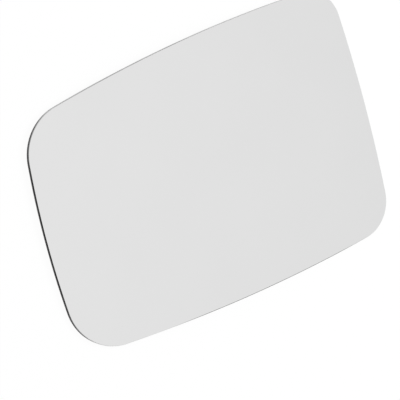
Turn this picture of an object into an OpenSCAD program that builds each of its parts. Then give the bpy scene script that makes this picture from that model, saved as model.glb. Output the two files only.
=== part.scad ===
// Mirror glass of a car's left-hand door mirror, in millimetres.
// One plate of convex glass, mirror-coated on its front face, with a ground edge
// and a fine arris on both faces.
// It lies on its back with the reflecting face up. X runs along its length, from the
// outer end to the end beside the car, and Y runs up the mirror as it is fitted.
// The frame's origin is on the surface that the glass lies on, under its middle.

/* [Outline] */
// Width at mid height, between the chords of the two ends
glass_w = 172.5; // [130:0.5:210]
// Height of the outer end, between the chords of the top and bottom edges
outer_h = 108; // [85:0.5:140]
// Height of the inner end, between the same chords
inner_h = 119; // [85:0.5:140]
// Lean of the outer end in degrees, with its top towards the car
outer_rake = 5.5; // [-8:0.5:12]
// Lean of the inner end in degrees, with its top towards the car
inner_rake = 5; // [-8:0.5:12]

/* [Edge curves] */
// Radius of the bottom edge's gentle curve
bottom_r = 950; // [400:10:3000]
// Radius of the inner end's gentle curve
inner_r = 980; // [300:10:3000]
// Radius of the top edge's gentle curve
top_r = 680; // [400:10:3000]
// Radius of the outer end's curve, the roundest of the four
outer_r = 380; // [300:10:3000]

/* [Corners] */
// Corner radius at the bottom of the outer end
bottom_outer_corner = 24; // [10:0.5:32]
// Corner radius at the bottom of the inner end
bottom_inner_corner = 19; // [10:0.5:32]
// Corner radius at the top of the inner end
top_inner_corner = 16; // [10:0.5:32]
// Corner radius at the top of the outer end
top_outer_corner = 25; // [10:0.5:32]

/* [Glass] */
// Thickness of the plate
thickness = 2.3; // [1.6:0.1:4]
// How far the ground arris reaches in from the edge and down from each face
arris = 0.3; // [0.1:0.05:0.7]
// Radius of the convex front face, the same both ways
dome_r = 1260; // [900:10:3000]

/* [Hidden] */

// Straight pieces that stand for each corner's arc and for each edge's arc
corner_steps = 14;
edge_steps = 14;
// Rings of facets from the arris to the crown of each face
face_rings = 5;
// Rounds in which the three resting corners settle
settle_rounds = 6;
// Reaches that differ by less than this are the same
reach_tolerance = 0.001;

// The four edges run bottom, inner, top, outer, and corner i starts edge i
edge_radii = [bottom_r, inner_r, top_r, outer_r];
corner_radii = [bottom_outer_corner, bottom_inner_corner, top_inner_corner, top_outer_corner];

function unit(v) = v / norm(v);
function left_of(v) = [-v.y, v.x];
function heading(v) = atan2(v.y, v.x);
function next(i) = (i + 1) % 4;
function previous(i) = (i + 3) % 4;

// Sharp corner where the chord of an end meets the chord of the top (side = 1) or
// bottom (side = -1). The end crosses mid height at x and has height h there.
taper = (inner_h - outer_h) / glass_w;
function sharp_corner(x, h, rake, side) =
    let (y = side * h / (2 - side * taper * tan(rake)))
    [x + y * tan(rake), y];

sharp_corners = [
    sharp_corner(-glass_w / 2, outer_h, outer_rake, -1),
    sharp_corner(glass_w / 2, inner_h, inner_rake, -1),
    sharp_corner(glass_w / 2, inner_h, inner_rake, 1),
    sharp_corner(-glass_w / 2, outer_h, outer_rake, 1)
];

// Centre of the arc of radius r that bulges to the right on its way from a to b
function arc_centre(a, b, r) =
    (a + b) / 2 + left_of(unit(b - a)) * sqrt(r ^ 2 - norm(b - a) ^ 2 / 4);

// Point at distance ra from a and rb from b, on the left of the way from a to b
function meeting(a, ra, b, rb) =
    let (apart = norm(b - a), along = (ra ^ 2 - rb ^ 2 + apart ^ 2) / (2 * apart))
    a + unit(b - a) * along + left_of(unit(b - a)) * sqrt(ra ^ 2 - along ^ 2);

edge_centres = [
    for (i = [0:3]) arc_centre(sharp_corners[i], sharp_corners[next(i)], edge_radii[i])
];

// Each corner's arc runs smoothly into the arcs of the edges on both sides
corner_centres = [
    for (i = [0:3])
        let (r = corner_radii[i], before = previous(i))
        meeting(edge_centres[before], edge_radii[before] - r, edge_centres[i], edge_radii[i] - r)
];

// Points of an arc that turns to the left from one heading to another, less the last
function arc(centre, r, from, to, steps) =
    let (turn = (to - from + 360) % 360)
    [for (k = [0:steps - 1]) let (a = from + turn * k / steps) centre + r * [cos(a), sin(a)]];

function corner_arc(i, inset) =
    let (c = corner_centres[i])
    arc(c, corner_radii[i] - inset, heading(c - edge_centres[previous(i)]),
        heading(c - edge_centres[i]), corner_steps);

function edge_arc(i, inset) =
    let (c = edge_centres[i])
    arc(c, edge_radii[i] - inset, heading(corner_centres[i] - c),
        heading(corner_centres[next(i)] - c), edge_steps);

// Outline of the glass in plan, drawn in by an inset
function outline(inset) =
    [for (i = [0:3]) each concat(corner_arc(i, inset), edge_arc(i, inset))];

// A domed plate lies on three of its corners, and the fourth lifts a little. How far a
// corner's arc reaches from the dome's crown, and where it touches the surface below
function reach(i, crown) = norm(corner_centres[i] - crown) + corner_radii[i];
function touch(i, crown) =
    corner_centres[i] + unit(corner_centres[i] - crown) * corner_radii[i];

// Point at the same distance from three points
function circle_centre(a, b, c) =
    let (
        ab = b - a,
        ac = c - a,
        double_area = 2 * (ab.x * ac.y - ab.y * ac.x)
    )
    a + [ac.y * (ab * ab) - ab.y * (ac * ac), ab.x * (ac * ac) - ac.x * (ab * ab)] / double_area;

// Place of the crown from which the three other corners reach equally far
function crown_for(lifted, crown = [0, 0], rounds = settle_rounds) =
    rounds < 1 ? crown
    : let (t = [for (k = [1:3]) touch((lifted + k) % 4, crown)])
      crown_for(lifted, circle_centre(t[0], t[1], t[2]), rounds - 1);

// Middle of the plate's weight, from the triangles that its outline makes with [0, 0]
function sum(values, i = 0) = i == len(values) - 1 ? values[i] : values[i] + sum(values, i + 1);
plan = outline(0);
slices = [
    for (i = [0:len(plan) - 1])
        let (a = plan[i], b = plan[(i + 1) % len(plan)], area = (a.x * b.y - a.y * b.x) / 2)
        [area, area * (a.x + b.x) / 3, area * (a.y + b.y) / 3]
];
plan_sum = sum(slices);
weight_centre = [plan_sum[1], plan_sum[2]] / plan_sum[0];

// A corner can lift if it reaches no further than the three that then carry the glass.
// It does lift if the weight isn't on its side of the line between its neighbours.
function can_lift(i) =
    let (crown = crown_for(i))
    reach(i, crown) <= reach(next(i), crown) + reach_tolerance;
function weight_side(i) =
    let (a = corner_centres[next(i)], b = corner_centres[previous(i)])
    (weight_centre - a) * left_of(b - a);

crown = crown_for([for (i = [0:3]) if (can_lift(i) && weight_side(i) <= 0) i][0]);

// A point of the plan, carried to a depth below the front face, square to the dome
function on_dome(p, depth) =
    let (
        out = p - crown,
        height = sqrt(dome_r ^ 2 - out * out),
        shrink = 1 - depth / dome_r
    )
    [crown.x + out.x * shrink, crown.y + out.y * shrink, height * shrink - dome_r];

function ring(inset, depth, share = 1) =
    [for (p = outline(inset)) on_dome(crown + (p - crown) * share, depth)];

// Rings from the crown of the front face out over the edge to the crown of the back
face_shares = [for (k = [1:face_rings - 1]) k / face_rings];
rings = concat(
    [for (share = face_shares) ring(arris, 0, share)],
    [
        ring(arris, 0),
        ring(0, arris),
        ring(0, thickness - arris),
        ring(arris, thickness)
    ],
    [for (k = [1:len(face_shares)]) ring(arris, thickness, face_shares[len(face_shares) - k])]
);
around = len(plan);
front_crown = around * len(rings);
back_crown = front_crown + 1;

plate_points = concat([for (r = rings) each r], [on_dome(crown, 0), on_dome(crown, thickness)]);
plate_faces = concat(
    [for (i = [0:around - 1]) [front_crown, (i + 1) % around, i]],
    [
        for (k = [0:len(rings) - 2], i = [0:around - 1])
            let (a = around * k, b = a + around, j = (i + 1) % around)
            each [[a + i, a + j, b + j], [a + i, b + j, b + i]]
    ],
    [
        for (i = [0:around - 1])
            let (last = front_crown - around)
            [last + i, last + (i + 1) % around, back_crown]
    ]
);

// The middle of the plate's box stands over the origin, and its lowest points at zero
function lowest(axis) = min([for (p = plate_points) p[axis]]);
function highest(axis) = max([for (p = plate_points) p[axis]]);
to_origin = [-(lowest(0) + highest(0)) / 2, -(lowest(1) + highest(1)) / 2, -lowest(2)];

module mirror_glass() {
    color("gainsboro")
        translate(to_origin)
            polyhedron(points = plate_points, faces = plate_faces, convexity = 4);
}

mirror_glass();
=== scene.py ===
from math import atan2, cos, pi, radians, sin, sqrt, tan

import bpy
from mathutils import Matrix, Vector


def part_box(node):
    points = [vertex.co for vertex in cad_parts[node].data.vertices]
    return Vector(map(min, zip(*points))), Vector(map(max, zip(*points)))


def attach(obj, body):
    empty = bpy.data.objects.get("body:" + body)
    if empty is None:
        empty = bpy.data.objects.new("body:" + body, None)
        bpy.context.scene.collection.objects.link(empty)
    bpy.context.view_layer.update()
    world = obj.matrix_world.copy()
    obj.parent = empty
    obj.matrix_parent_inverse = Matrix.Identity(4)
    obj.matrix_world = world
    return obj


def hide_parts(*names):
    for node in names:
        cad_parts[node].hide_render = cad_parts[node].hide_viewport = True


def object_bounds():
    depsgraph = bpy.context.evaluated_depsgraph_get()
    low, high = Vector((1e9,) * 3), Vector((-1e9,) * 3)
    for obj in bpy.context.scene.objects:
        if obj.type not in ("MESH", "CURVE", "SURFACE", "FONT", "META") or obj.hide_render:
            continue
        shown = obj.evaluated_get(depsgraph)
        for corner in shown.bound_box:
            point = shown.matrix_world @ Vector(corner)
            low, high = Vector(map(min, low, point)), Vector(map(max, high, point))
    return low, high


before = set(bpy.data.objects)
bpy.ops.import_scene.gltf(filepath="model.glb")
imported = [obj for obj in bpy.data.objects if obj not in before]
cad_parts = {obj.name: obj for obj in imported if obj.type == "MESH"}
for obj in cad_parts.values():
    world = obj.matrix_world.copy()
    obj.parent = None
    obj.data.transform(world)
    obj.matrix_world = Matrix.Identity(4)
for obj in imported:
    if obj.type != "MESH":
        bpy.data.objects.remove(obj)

cad_low, cad_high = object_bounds()
MM = 0.001

# Driving sizes of the glass, the same as in its construction
GLASS_W = 172.5 * MM
OUTER_H = 108 * MM
INNER_H = 119 * MM
OUTER_RAKE = radians(5.5)
INNER_RAKE = radians(5)
# Edges and corners in the order bottom, inner, top, outer, and corner i starts edge i
EDGE_RADII = [950 * MM, 980 * MM, 680 * MM, 380 * MM]
CORNER_RADII = [24 * MM, 19 * MM, 16 * MM, 25 * MM]
THICKNESS = 2.3 * MM
ARRIS = 0.3 * MM
DOME_R = 1260 * MM

# The dressed plate stays this far inside the solid's outline
SKIN = 0.02 * MM
# Points closer than this are one point
SAME_POINT = 0.02 * MM
# Straight pieces in each corner's arc, in each edge's arc and across the arris
CORNER_STEPS = 28
EDGE_STEPS = 28
ARRIS_STEPS = 1
# Mesh of the two faces, fine enough for a clean reflection in the dome
FACE_PITCH = 4 * MM
# Faces of the flat plate with a normal as upright as this are its front and its back
UPRIGHT = 0.999
# Edges sharper than the first angle get the arris, and those below the second are shaded smooth
SHARP_ANGLE = radians(60)
SMOOTH_ANGLE = radians(15)

# Where the camera stood, from the outline and the line of the edge in the photograph
VIEW_DISTANCE = 1.0
VIEW_LEAN = radians(26.87)
VIEW_TURN = radians(22.13)
AIM = Vector((-12.81 * MM, -9.72 * MM, 0))
LENS_MM = 195.6
SENSOR_MM = 36
# Directions on the table that run level and upright in the picture
LEVEL = Vector((cos(VIEW_TURN), -sin(VIEW_TURN), 0))
UPWARD = Vector((sin(VIEW_TURN), cos(VIEW_TURN), 0))


def left_and_down(angle):
    """The direction on the table that runs to the picture's left, and down by an angle."""
    return -LEVEL * cos(angle) - UPWARD * sin(angle)


WHITE = (1, 1, 1, 1)
FLOOR_SIZE = 8
# How much of the floor's own light and shade is made plain white, to the camera and in
# reflections
PLAIN_TO_CAMERA = 0.95
PLAIN_IN_MIRROR = 0.2
# Light from all round, besides the lamp
SOFT_LIGHT = 0.72
# The lamp's place, its width and its power
LAMP_PLACE = LEVEL * 0.7 + UPWARD * 0.3 + Vector((0, 0, 0.9))
LAMP_SIZE = 0.6
LAMP_POWER = 6
# The tent that the mirror shows goes by the height of each direction, from 0 at the horizon to 1
# straight up. Its wall has one level up to the first height, and whitens towards the second
WALL_LEVEL = 0.912
WALL_RISE = (0.6, 1)
# How much darker the foot of the wall is, up to the first height, and where that ends
FOOT_DARK = 0.6
FOOT_RISE = (0.05, 0.22)
# The side on which the tent is open, how much darker it is there, and where that starts and is
# full, by how squarely a direction faces the opening and by its height
OPEN_SIDE = left_and_down(radians(14))
OPENING_DARK = 0.8
OPENING_ACROSS = (0.2, 0.75)
OPENING_UP = (0.08, 0.42)

# The line of the edge is dark at the outer end in the photograph, where it faces away from the
# light. The edge is drawn darker where it faces this side: painted shade. The line of the edge
# is dark at the outer end in the photograph, and what makes it dark isn't known. It is drawn
# as if the back was sprayed from this side and paint drifted onto the edge
SHADED_SIDE = left_and_down(radians(11))
# How squarely the edge faces that side where its painted shade starts to show, and where it is full
SHADE_FAINT = 0.28
SHADE_FULL = 0.8
# The three stretches of the rim whose line is darker in the photograph, at the upper edge, the
# lower edge and the outer end, where the arris is drawn darker as painted shade: the middle of
# each, how far from it the painted shade starts and stops giving way to the arris's own tone,
# and its tones from dark to pale. All were set by comparing renders with the photograph
SHADED_STRETCHES = (
    (Vector((-24 * MM, 61 * MM, 4 * MM)), 24 * MM, 48 * MM, "#BEBEBE", "#D0D0D0"),
    (Vector((10 * MM, -60 * MM, 4 * MM)), 34 * MM, 62 * MM, "#444444", "#585858"),
    (Vector((-90 * MM, 2 * MM, 3 * MM)), 24 * MM, 60 * MM, "#2C2C2C", "#3C3C3C"),
)

# Real sizes of what the finishes show
HAZE_PATCH = 40 * MM
FLOAT_WAVE = 30 * MM
FLOAT_WAVE_HEIGHT = 0.01 * MM
WHEEL_LINE = 0.25 * MM
WHEEL_LINE_DEPTH = 0.01 * MM
BELT_LINE = 0.12 * MM
# How many times as long as they are wide the wheel's and the belt's lines are
WHEEL_LINE_STRETCH = 40
BELT_LINE_STRETCH = 60
COAT_PATCH = 25 * MM
PEEL_SIZE = 1.5 * MM
PEEL_HEIGHT = 0.06 * MM
# Nearly all of a noise lies between these values
NOISE_LOW = 0.3
NOISE_HIGH = 0.7

# Roughness of the finishes, from their smoothest places to their roughest, and of the edge from
# where it is pale to where its painted shade is full
COATING_ROUGHNESS = (0.015, 0.035)
ARRIS_ROUGHNESS = (0.2, 0.3)
PAINT_ROUGHNESS = (0.55, 0.7)
EDGE_ROUGHNESS = (0.45, 0.85)
# A ground surface shines less than a smooth one
EDGE_SHINE = 0.2


def linear(hex_colour):
    """An sRGB hex colour as linear red, green, blue and alpha."""
    values = [int(hex_colour[i:i + 2], 16) / 255 for i in (1, 3, 5)]
    return [v / 12.92 if v <= 0.04045 else ((v + 0.055) / 1.055) ** 2.4 for v in values] + [1]


def add(tree, kind, inputs=None, **settings):
    """A new node with its settings, and a value or a link for each input that is named."""
    node = tree.nodes.new(kind)
    for key, value in settings.items():
        setattr(node, key, value)
    for key, value in (inputs or {}).items():
        if isinstance(value, bpy.types.NodeSocket):
            tree.links.new(value, node.inputs[key])
        else:
            node.inputs[key].default_value = value
    return node


# Plan of the glass

def left_of(v):
    return Vector((-v.y, v.x))


def sharp_corner(x, height, rake, side):
    """Where the chord of an end meets the chord of the top (side 1) or bottom (side -1)."""
    taper = (INNER_H - OUTER_H) / GLASS_W
    y = side * height / (2 - side * taper * tan(rake))
    return Vector((x + y * tan(rake), y))


def arc_centre(a, b, radius):
    """Centre of the arc that bulges to the right on its way from a to b."""
    half = (b - a).length / 2
    return (a + b) / 2 + left_of((b - a).normalized()) * sqrt(radius ** 2 - half ** 2)


def meeting(a, from_a, b, from_b):
    """The point at those distances from a and b, on the left of the way from a to b."""
    apart = (b - a).length
    along = (from_a ** 2 - from_b ** 2 + apart ** 2) / (2 * apart)
    way = (b - a) / apart
    return a + way * along + left_of(way) * sqrt(from_a ** 2 - along ** 2)


def turn_between(a, b):
    """Angle from one direction to another, turning to the left."""
    return (atan2(b.y, b.x) - atan2(a.y, a.x)) % (2 * pi)


def plan_arcs():
    """First point of the outline, and its arcs as (centre, angle, steps), all one smooth line."""
    sharp_corners = [
        sharp_corner(-GLASS_W / 2, OUTER_H, OUTER_RAKE, -1),
        sharp_corner(GLASS_W / 2, INNER_H, INNER_RAKE, -1),
        sharp_corner(GLASS_W / 2, INNER_H, INNER_RAKE, 1),
        sharp_corner(-GLASS_W / 2, OUTER_H, OUTER_RAKE, 1),
    ]
    edge_centres = [
        arc_centre(sharp_corners[i], sharp_corners[(i + 1) % 4], EDGE_RADII[i])
        for i in range(4)
    ]
    corner_centres = [
        meeting(edge_centres[i - 1], EDGE_RADII[i - 1] - CORNER_RADII[i],
                edge_centres[i], EDGE_RADII[i] - CORNER_RADII[i])
        for i in range(4)
    ]
    arcs = []
    for i in range(4):
        before, edge = edge_centres[i - 1], edge_centres[i]
        corner, after = corner_centres[i], corner_centres[(i + 1) % 4]
        arcs.append((corner, turn_between(corner - before, corner - edge), CORNER_STEPS))
        arcs.append((edge, turn_between(corner - edge, after - edge), EDGE_STEPS))
    outward = (corner_centres[0] - edge_centres[-1]).normalized()
    return corner_centres[0] + outward * (CORNER_RADII[0] - SKIN), arcs


# The plate

def select_faces(obj, wanted):
    """Selects the faces of a mesh that a test picks, in edit mode."""
    bpy.ops.object.mode_set(mode="OBJECT")
    for part in (obj.data.vertices, obj.data.edges, obj.data.polygons):
        part.foreach_set("select", [False] * len(part))
    for face in obj.data.polygons:
        face.select = wanted(face)
    bpy.ops.object.mode_set(mode="EDIT")


def is_face_of_glass(face):
    """Whether a face of the flat plate belongs to its front or its back."""
    return abs(face.normal.z) > UPRIGHT


def flat_plate():
    """The plate before it is domed: its outline swept arc by arc, filled, thickened and arrised."""
    start, arcs = plan_arcs()
    bpy.ops.object.select_all(action="DESELECT")
    bpy.ops.mesh.primitive_plane_add(size=ARRIS, location=(start.x, start.y, 0))
    plate = bpy.context.object
    bpy.ops.object.transform_apply(location=True, rotation=True, scale=True)
    bpy.ops.object.mode_set(mode="EDIT")
    bpy.ops.mesh.select_mode(type="VERT")
    bpy.ops.mesh.merge(type="CENTER")
    for centre, angle, steps in arcs:
        # Spin turns to the right about an axis that points up
        bpy.ops.mesh.spin(
            steps=steps, angle=angle, center=(centre.x, centre.y, 0), axis=(0, 0, -1))
    bpy.ops.mesh.select_all(action="SELECT")
    bpy.ops.mesh.remove_doubles(threshold=SAME_POINT)
    bpy.ops.mesh.edge_face_add()
    bpy.ops.mesh.extrude_region_move(TRANSFORM_OT_translate={"value": (0, 0, -THICKNESS)})
    bpy.ops.mesh.select_all(action="SELECT")
    bpy.ops.mesh.normals_make_consistent(inside=False)
    bpy.ops.mesh.select_mode(type="EDGE")
    bpy.ops.mesh.select_all(action="DESELECT")
    bpy.ops.mesh.edges_select_sharp(sharpness=SHARP_ANGLE)
    bpy.ops.mesh.bevel(offset=ARRIS, segments=ARRIS_STEPS, profile=0.5, clamp_overlap=False)
    bpy.ops.mesh.select_mode(type="FACE")
    bpy.ops.object.mode_set(mode="OBJECT")
    return plate


def cut_faces(plate):
    """Cuts both faces into a mesh of small squares, so that they can be domed."""
    for axis in (Vector((1, 0, 0)), Vector((0, 1, 0))):
        ends = [axis.dot(v.co) for v in plate.data.vertices]
        cuts = int((max(ends) - min(ends)) / FACE_PITCH)
        middle = (max(ends) + min(ends)) / 2
        for k in range(cuts):
            at = middle + (k - (cuts - 1) / 2) * FACE_PITCH
            select_faces(plate, is_face_of_glass)
            bpy.ops.mesh.bisect(plane_co=axis * at, plane_no=axis, threshold=SAME_POINT)
    bpy.ops.object.mode_set(mode="OBJECT")


def dome_centre():
    """Centre of the sphere that the front face is part of, straight under its highest point."""
    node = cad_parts["mirror_glass"]
    crown = max(node.data.vertices, key=lambda v: v.co.z).co.copy()
    return crown - Vector((0, 0, DOME_R))


def dome_plate(plate):
    """Carries every point square to the dome, at the depth that it has in the flat plate."""
    centre = dome_centre()
    low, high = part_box("mirror_glass")
    xs = [v.co.x for v in plate.data.vertices]
    ys = [v.co.y for v in plate.data.vertices]
    to_frame = Vector((low.x + high.x - min(xs) - max(xs), low.y + high.y - min(ys) - max(ys))) / 2
    for v in plate.data.vertices:
        out = v.co.xy + to_frame - centre.xy
        on_face = Vector((out.x, out.y, sqrt(DOME_R ** 2 - out.length_squared)))
        v.co = centre + on_face * (1 + v.co.z / DOME_R)
    plate.data.update()


# Materials

def new_material(name):
    """A material whose node tree is empty."""
    made = bpy.data.materials.new(name)
    made.use_nodes = True
    made.node_tree.nodes.clear()
    return made, made.node_tree


def lines_round_the_rim(tree, place, pitch, stretch):
    """Fine lines that run round the rim, as a value from 0 to 1. Across it they are a pitch apart,
    by the distance from the dome's centre, and they are drawn out along it."""
    depth = add(tree, "ShaderNodeVectorMath", {0: place, 1: dome_centre()}, operation="DISTANCE")
    across = add(tree, "ShaderNodeMath", {
        0: depth.outputs["Value"], 1: 1 / pitch}, operation="MULTIPLY")
    along = add(tree, "ShaderNodeVectorMath", {
        0: place, "Scale": 1 / (pitch * stretch)}, operation="SCALE")
    plan = add(tree, "ShaderNodeSeparateXYZ", {"Vector": along.outputs["Vector"]})
    spot = add(tree, "ShaderNodeCombineXYZ", {
        "X": plan.outputs["X"], "Y": plan.outputs["Y"], "Z": across.outputs["Value"]})
    lines = add(tree, "ShaderNodeTexNoise", {
        "Vector": spot.outputs["Vector"], "Scale": 1, "Detail": 2})
    return lines.outputs["Fac"]


def mirror_coating():
    """Chromium coated in vacuum on the front of float glass: a neutral bright mirror, a little
    greyer than the white that it reflects, with a trace of haze and the float's long waves."""
    made, tree = new_material("chromium_mirror_coating")
    place = add(tree, "ShaderNodeTexCoord").outputs["Object"]
    haze = add(tree, "ShaderNodeTexNoise", {
        "Vector": place, "Scale": 1 / HAZE_PATCH, "Detail": 3}).outputs["Fac"]
    tone = add(tree, "ShaderNodeMix", {
        "Factor": haze, "A": linear("#E2E2E2"), "B": linear("#E5E5E5")}, data_type="RGBA")
    polish = add(tree, "ShaderNodeMapRange", {
        "Value": haze, "From Min": NOISE_LOW, "From Max": NOISE_HIGH,
        "To Min": COATING_ROUGHNESS[0], "To Max": COATING_ROUGHNESS[1]},
        interpolation_type="SMOOTHSTEP")
    waves = add(tree, "ShaderNodeTexNoise", {
        "Vector": place, "Scale": 1 / FLOAT_WAVE, "Detail": 1})
    relief = add(tree, "ShaderNodeBump", {
        "Height": waves.outputs["Fac"], "Distance": FLOAT_WAVE_HEIGHT})
    shader = add(tree, "ShaderNodeBsdfPrincipled", {
        "Base Color": tone.outputs["Result"], "Metallic": 1, "Roughness": polish.outputs["Result"],
        "Normal": relief.outputs["Normal"]})
    add(tree, "ShaderNodeOutputMaterial", {"Surface": shader.outputs["BSDF"]})
    return made


def ground_edge():
    """Float glass ground square with a diamond wheel: pale satin grey, with the wheel's lines
    round the rim, and dark grey at the outer end as painted shade, where it faces the shaded
    side. The lines are drawn four times as coarse as the wheel's, so that they show."""
    made, tree = new_material("ground_glass_edge")
    coordinates = add(tree, "ShaderNodeTexCoord")
    lines = lines_round_the_rim(
        tree, coordinates.outputs["Object"], WHEEL_LINE, WHEEL_LINE_STRETCH)
    glass = add(tree, "ShaderNodeMix", {
        "Factor": lines, "A": linear("#C0C0C0"), "B": linear("#DEDEDE")}, data_type="RGBA")
    # Painted shade: the dark tone that the edge takes where it faces the shaded side
    painted = add(tree, "ShaderNodeMix", {
        "Factor": lines, "A": linear("#404040"), "B": linear("#4C4C4C")}, data_type="RGBA")
    towards = add(tree, "ShaderNodeVectorMath", {
        0: coordinates.outputs["Normal"], 1: SHADED_SIDE}, operation="DOT_PRODUCT")
    # How much painted shade, by how squarely the edge faces the shaded side
    painted_shade = add(tree, "ShaderNodeMapRange", {
        "Value": towards.outputs["Value"], "From Min": SHADE_FAINT, "From Max": SHADE_FULL},
        interpolation_type="SMOOTHSTEP").outputs["Result"]
    tone = add(tree, "ShaderNodeMix", {
        "Factor": painted_shade, "A": glass.outputs["Result"], "B": painted.outputs["Result"]},
        data_type="RGBA")
    roughness = add(tree, "ShaderNodeMapRange", {
        "Value": painted_shade, "To Min": EDGE_ROUGHNESS[0], "To Max": EDGE_ROUGHNESS[1]},
        interpolation_type="SMOOTHSTEP")
    relief = add(tree, "ShaderNodeBump", {"Height": lines, "Distance": WHEEL_LINE_DEPTH})
    shader = add(tree, "ShaderNodeBsdfPrincipled", {
        "Base Color": tone.outputs["Result"], "Roughness": roughness.outputs["Result"],
        "Specular IOR Level": EDGE_SHINE, "Normal": relief.outputs["Normal"]})
    add(tree, "ShaderNodeOutputMaterial", {"Surface": shader.outputs["BSDF"]})
    return made


def seamed_arris():
    """The arris, seamed with a fine belt before coating, so the chromium on it is satin with
    fine lines round the rim. It is drawn darker on three stretches, as painted shade. The lines
    are drawn three times as coarse as the belt's, so that they show."""
    made, tree = new_material("seamed_arris_satin_chromium")
    place = add(tree, "ShaderNodeTexCoord").outputs["Object"]
    lines = lines_round_the_rim(tree, place, BELT_LINE, BELT_LINE_STRETCH)
    tone = add(tree, "ShaderNodeMix", {
        "Factor": lines, "A": linear("#D4D4D4"), "B": linear("#E2E2E2")}, data_type="RGBA")
    # Painted shade: near the middle of each stretch the arris takes a darker tone
    for stretch_middle, near, far, dark, pale in SHADED_STRETCHES:
        away = add(tree, "ShaderNodeVectorMath", {0: place, 1: stretch_middle}, operation="DISTANCE")
        stretch_shade = add(tree, "ShaderNodeMapRange", {
            "Value": away.outputs["Value"], "From Min": near, "From Max": far, "To Min": 1,
            "To Max": 0}, interpolation_type="SMOOTHSTEP")
        shaded_tone = add(tree, "ShaderNodeMix", {
            "Factor": lines, "A": linear(dark), "B": linear(pale)}, data_type="RGBA")
        tone = add(tree, "ShaderNodeMix", {
            "Factor": stretch_shade.outputs["Result"], "A": tone.outputs["Result"],
            "B": shaded_tone.outputs["Result"]}, data_type="RGBA")
    roughness = add(tree, "ShaderNodeMapRange", {
        "Value": lines, "From Min": NOISE_LOW, "From Max": NOISE_HIGH,
        "To Min": ARRIS_ROUGHNESS[0], "To Max": ARRIS_ROUGHNESS[1]},
        interpolation_type="SMOOTHSTEP")
    shader = add(tree, "ShaderNodeBsdfPrincipled", {
        "Base Color": tone.outputs["Result"], "Metallic": 1,
        "Roughness": roughness.outputs["Result"]})
    add(tree, "ShaderNodeOutputMaterial", {"Surface": shader.outputs["BSDF"]})
    return made


def backing_paint():
    """Dark grey epoxy paint, sprayed on the back: matt, with a fine orange peel and slow
    changes of tone where the coats overlap."""
    made, tree = new_material("grey_epoxy_backing_paint")
    place = add(tree, "ShaderNodeTexCoord").outputs["Object"]
    coats = add(tree, "ShaderNodeTexNoise", {
        "Vector": place, "Scale": 1 / COAT_PATCH, "Detail": 2})
    tone = add(tree, "ShaderNodeMix", {
        "Factor": coats.outputs["Fac"], "A": linear("#424446"), "B": linear("#505254")},
        data_type="RGBA")
    peel = add(tree, "ShaderNodeTexNoise", {
        "Vector": place, "Scale": 1 / PEEL_SIZE, "Detail": 2}).outputs["Fac"]
    roughness = add(tree, "ShaderNodeMapRange", {
        "Value": peel, "From Min": NOISE_LOW, "From Max": NOISE_HIGH,
        "To Min": PAINT_ROUGHNESS[0], "To Max": PAINT_ROUGHNESS[1]},
        interpolation_type="SMOOTHSTEP")
    relief = add(tree, "ShaderNodeBump", {"Height": peel, "Distance": PEEL_HEIGHT})
    shader = add(tree, "ShaderNodeBsdfPrincipled", {
        "Base Color": tone.outputs["Result"], "Roughness": roughness.outputs["Result"],
        "Normal": relief.outputs["Normal"]})
    add(tree, "ShaderNodeOutputMaterial", {"Surface": shader.outputs["BSDF"]})
    return made


def finish_plate(plate):
    """Gives each face of the plate the finish that it has, by where it lies in the flat plate."""
    for finish in (mirror_coating(), seamed_arris(), ground_edge(), backing_paint()):
        plate.data.materials.append(finish)
    coating, arris, edge, paint = range(4)
    for face in plate.data.polygons:
        depth = -face.center.z
        if is_face_of_glass(face):
            face.material_index = coating if depth < THICKNESS / 2 else paint
        elif depth < ARRIS:
            face.material_index = arris
        else:
            # The paint on the back covers the arris there
            face.material_index = edge if depth < THICKNESS - ARRIS else paint


# Studio

def make_floor():
    """A white table. To the camera and in reflections it is plain white, with only a trace left
    of the shadow that falls on it."""
    bpy.ops.object.select_all(action="DESELECT")
    bpy.ops.mesh.primitive_plane_add(size=FLOOR_SIZE, location=(0, 0, 0))
    floor = bpy.context.object
    floor.name = "floor"
    made, tree = new_material("white_table")
    rays = add(tree, "ShaderNodeLightPath")
    mirrored = add(tree, "ShaderNodeMath", {
        0: rays.outputs["Is Glossy Ray"], 1: rays.outputs["Is Transmission Ray"]},
        operation="MAXIMUM")
    in_mirror = add(tree, "ShaderNodeMath", {
        0: mirrored.outputs["Value"], 1: PLAIN_IN_MIRROR}, operation="MULTIPLY")
    plain = add(tree, "ShaderNodeMath", {
        0: rays.outputs["Is Camera Ray"], 1: PLAIN_TO_CAMERA, 2: in_mirror.outputs["Value"]},
        operation="MULTIPLY_ADD")
    paint = add(tree, "ShaderNodeBsdfDiffuse", {"Color": WHITE})
    white = add(tree, "ShaderNodeEmission", {"Color": WHITE, "Strength": 1})
    both = add(tree, "ShaderNodeMixShader", {
        0: plain.outputs["Value"], 1: paint.outputs["BSDF"], 2: white.outputs["Emission"]})
    add(tree, "ShaderNodeOutputMaterial", {"Surface": both.outputs["Shader"]})
    floor.data.materials.append(made)


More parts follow.
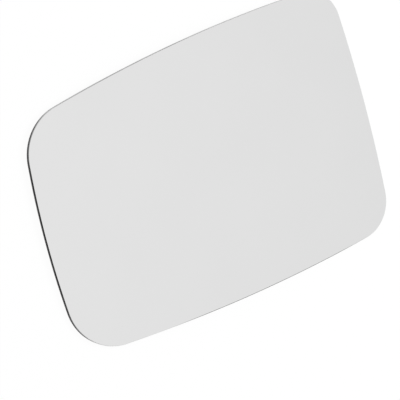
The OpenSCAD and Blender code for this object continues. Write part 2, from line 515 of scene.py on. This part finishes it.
def make_world():
    """White all round for the camera. In reflections it is a white light tent, whose wall is a
    little darker than its top, darker again at its foot, and darkest where it is open."""
    world = bpy.data.worlds.new("light_tent")
    bpy.context.scene.world = world
    world.use_nodes = True
    tree = world.node_tree
    tree.nodes.clear()
    rays = add(tree, "ShaderNodeLightPath")
    mirrored = add(tree, "ShaderNodeMath", {
        0: rays.outputs["Is Glossy Ray"], 1: rays.outputs["Is Transmission Ray"]},
        operation="MAXIMUM")
    way = add(tree, "ShaderNodeTexCoord").outputs["Generated"]
    height = add(tree, "ShaderNodeSeparateXYZ", {"Vector": way}).outputs["Z"]
    wall = add(tree, "ShaderNodeMapRange", {
        "Value": height, "From Min": WALL_RISE[0], "From Max": WALL_RISE[1],
        "To Min": WALL_LEVEL, "To Max": 1})
    towards = add(tree, "ShaderNodeVectorMath", {0: way, 1: OPEN_SIDE}, operation="DOT_PRODUCT")
    sideways = add(tree, "ShaderNodeMapRange", {
        "Value": towards.outputs["Value"], "From Min": OPENING_ACROSS[0],
        "From Max": OPENING_ACROSS[1], "To Min": 0, "To Max": OPENING_DARK},
        interpolation_type="SMOOTHSTEP")
    upwards = add(tree, "ShaderNodeMapRange", {
        "Value": height, "From Min": OPENING_UP[0], "From Max": OPENING_UP[1]},
        interpolation_type="SMOOTHSTEP")
    opening = add(tree, "ShaderNodeMath", {
        0: sideways.outputs["Result"], 1: upwards.outputs["Result"]}, operation="MULTIPLY")
    opened = add(tree, "ShaderNodeMath", {
        0: wall.outputs["Result"], 1: opening.outputs["Value"]}, operation="SUBTRACT")
    foot = add(tree, "ShaderNodeMapRange", {
        "Value": height, "From Min": FOOT_RISE[0], "From Max": FOOT_RISE[1],
        "To Min": 1 - FOOT_DARK, "To Max": 1}, interpolation_type="SMOOTHSTEP")
    tent = add(tree, "ShaderNodeMath", {
        0: opened.outputs["Value"], 1: foot.outputs["Result"]}, operation="MULTIPLY")
    level = add(tree, "ShaderNodeMix", {
        "Factor": mirrored.outputs["Value"], "A": SOFT_LIGHT, "B": tent.outputs["Value"]})
    seen = add(tree, "ShaderNodeMix", {
        "Factor": rays.outputs["Is Camera Ray"], "A": level.outputs["Result"], "B": 1})
    sky = add(tree, "ShaderNodeBackground", {"Color": WHITE, "Strength": seen.outputs["Result"]})
    add(tree, "ShaderNodeOutputWorld", {"Surface": sky.outputs["Background"]})


def make_lamp():
    """A soft lamp that lights plain surfaces, and that the mirror doesn't show."""
    lamp = bpy.data.objects.new("key_softbox", bpy.data.lights.new("key_softbox", "AREA"))
    lamp.data.shape = "DISK"
    lamp.data.size = LAMP_SIZE
    lamp.data.energy = LAMP_POWER
    lamp.location = LAMP_PLACE
    lamp.rotation_euler = (-LAMP_PLACE).to_track_quat("-Z", "Y").to_euler()
    lamp.visible_glossy = False
    bpy.context.scene.collection.objects.link(lamp)


def make_camera():
    """Looks down on the glass from beside its outer end, with the picture's level turned."""
    aim = AIM + Vector((0, 0, cad_high.z))
    back = Vector((0, 0, cos(VIEW_LEAN))) - LEVEL * sin(VIEW_LEAN)
    right = UPWARD.cross(back)
    camera = bpy.data.objects.new("camera", bpy.data.cameras.new("camera"))
    camera.data.lens = LENS_MM
    camera.data.sensor_width = SENSOR_MM
    camera.matrix_world = Matrix((right, UPWARD, back)).transposed().to_4x4()
    camera.location = aim + back * VIEW_DISTANCE
    bpy.context.scene.collection.objects.link(camera)
    bpy.context.scene.camera = camera


plate = flat_plate()
cut_faces(plate)
finish_plate(plate)
dome_plate(plate)
plate.name = "coated_glass_plate"
plate.data.name = plate.name
bpy.ops.object.select_all(action="DESELECT")
plate.select_set(True)
bpy.context.view_layer.objects.active = plate
bpy.ops.object.shade_smooth_by_angle(angle=SMOOTH_ANGLE)
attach(plate, "root")
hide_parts("mirror_glass")

make_floor()
make_world()
make_lamp()
make_camera()

bpy.context.scene.view_settings.view_transform = "Standard"
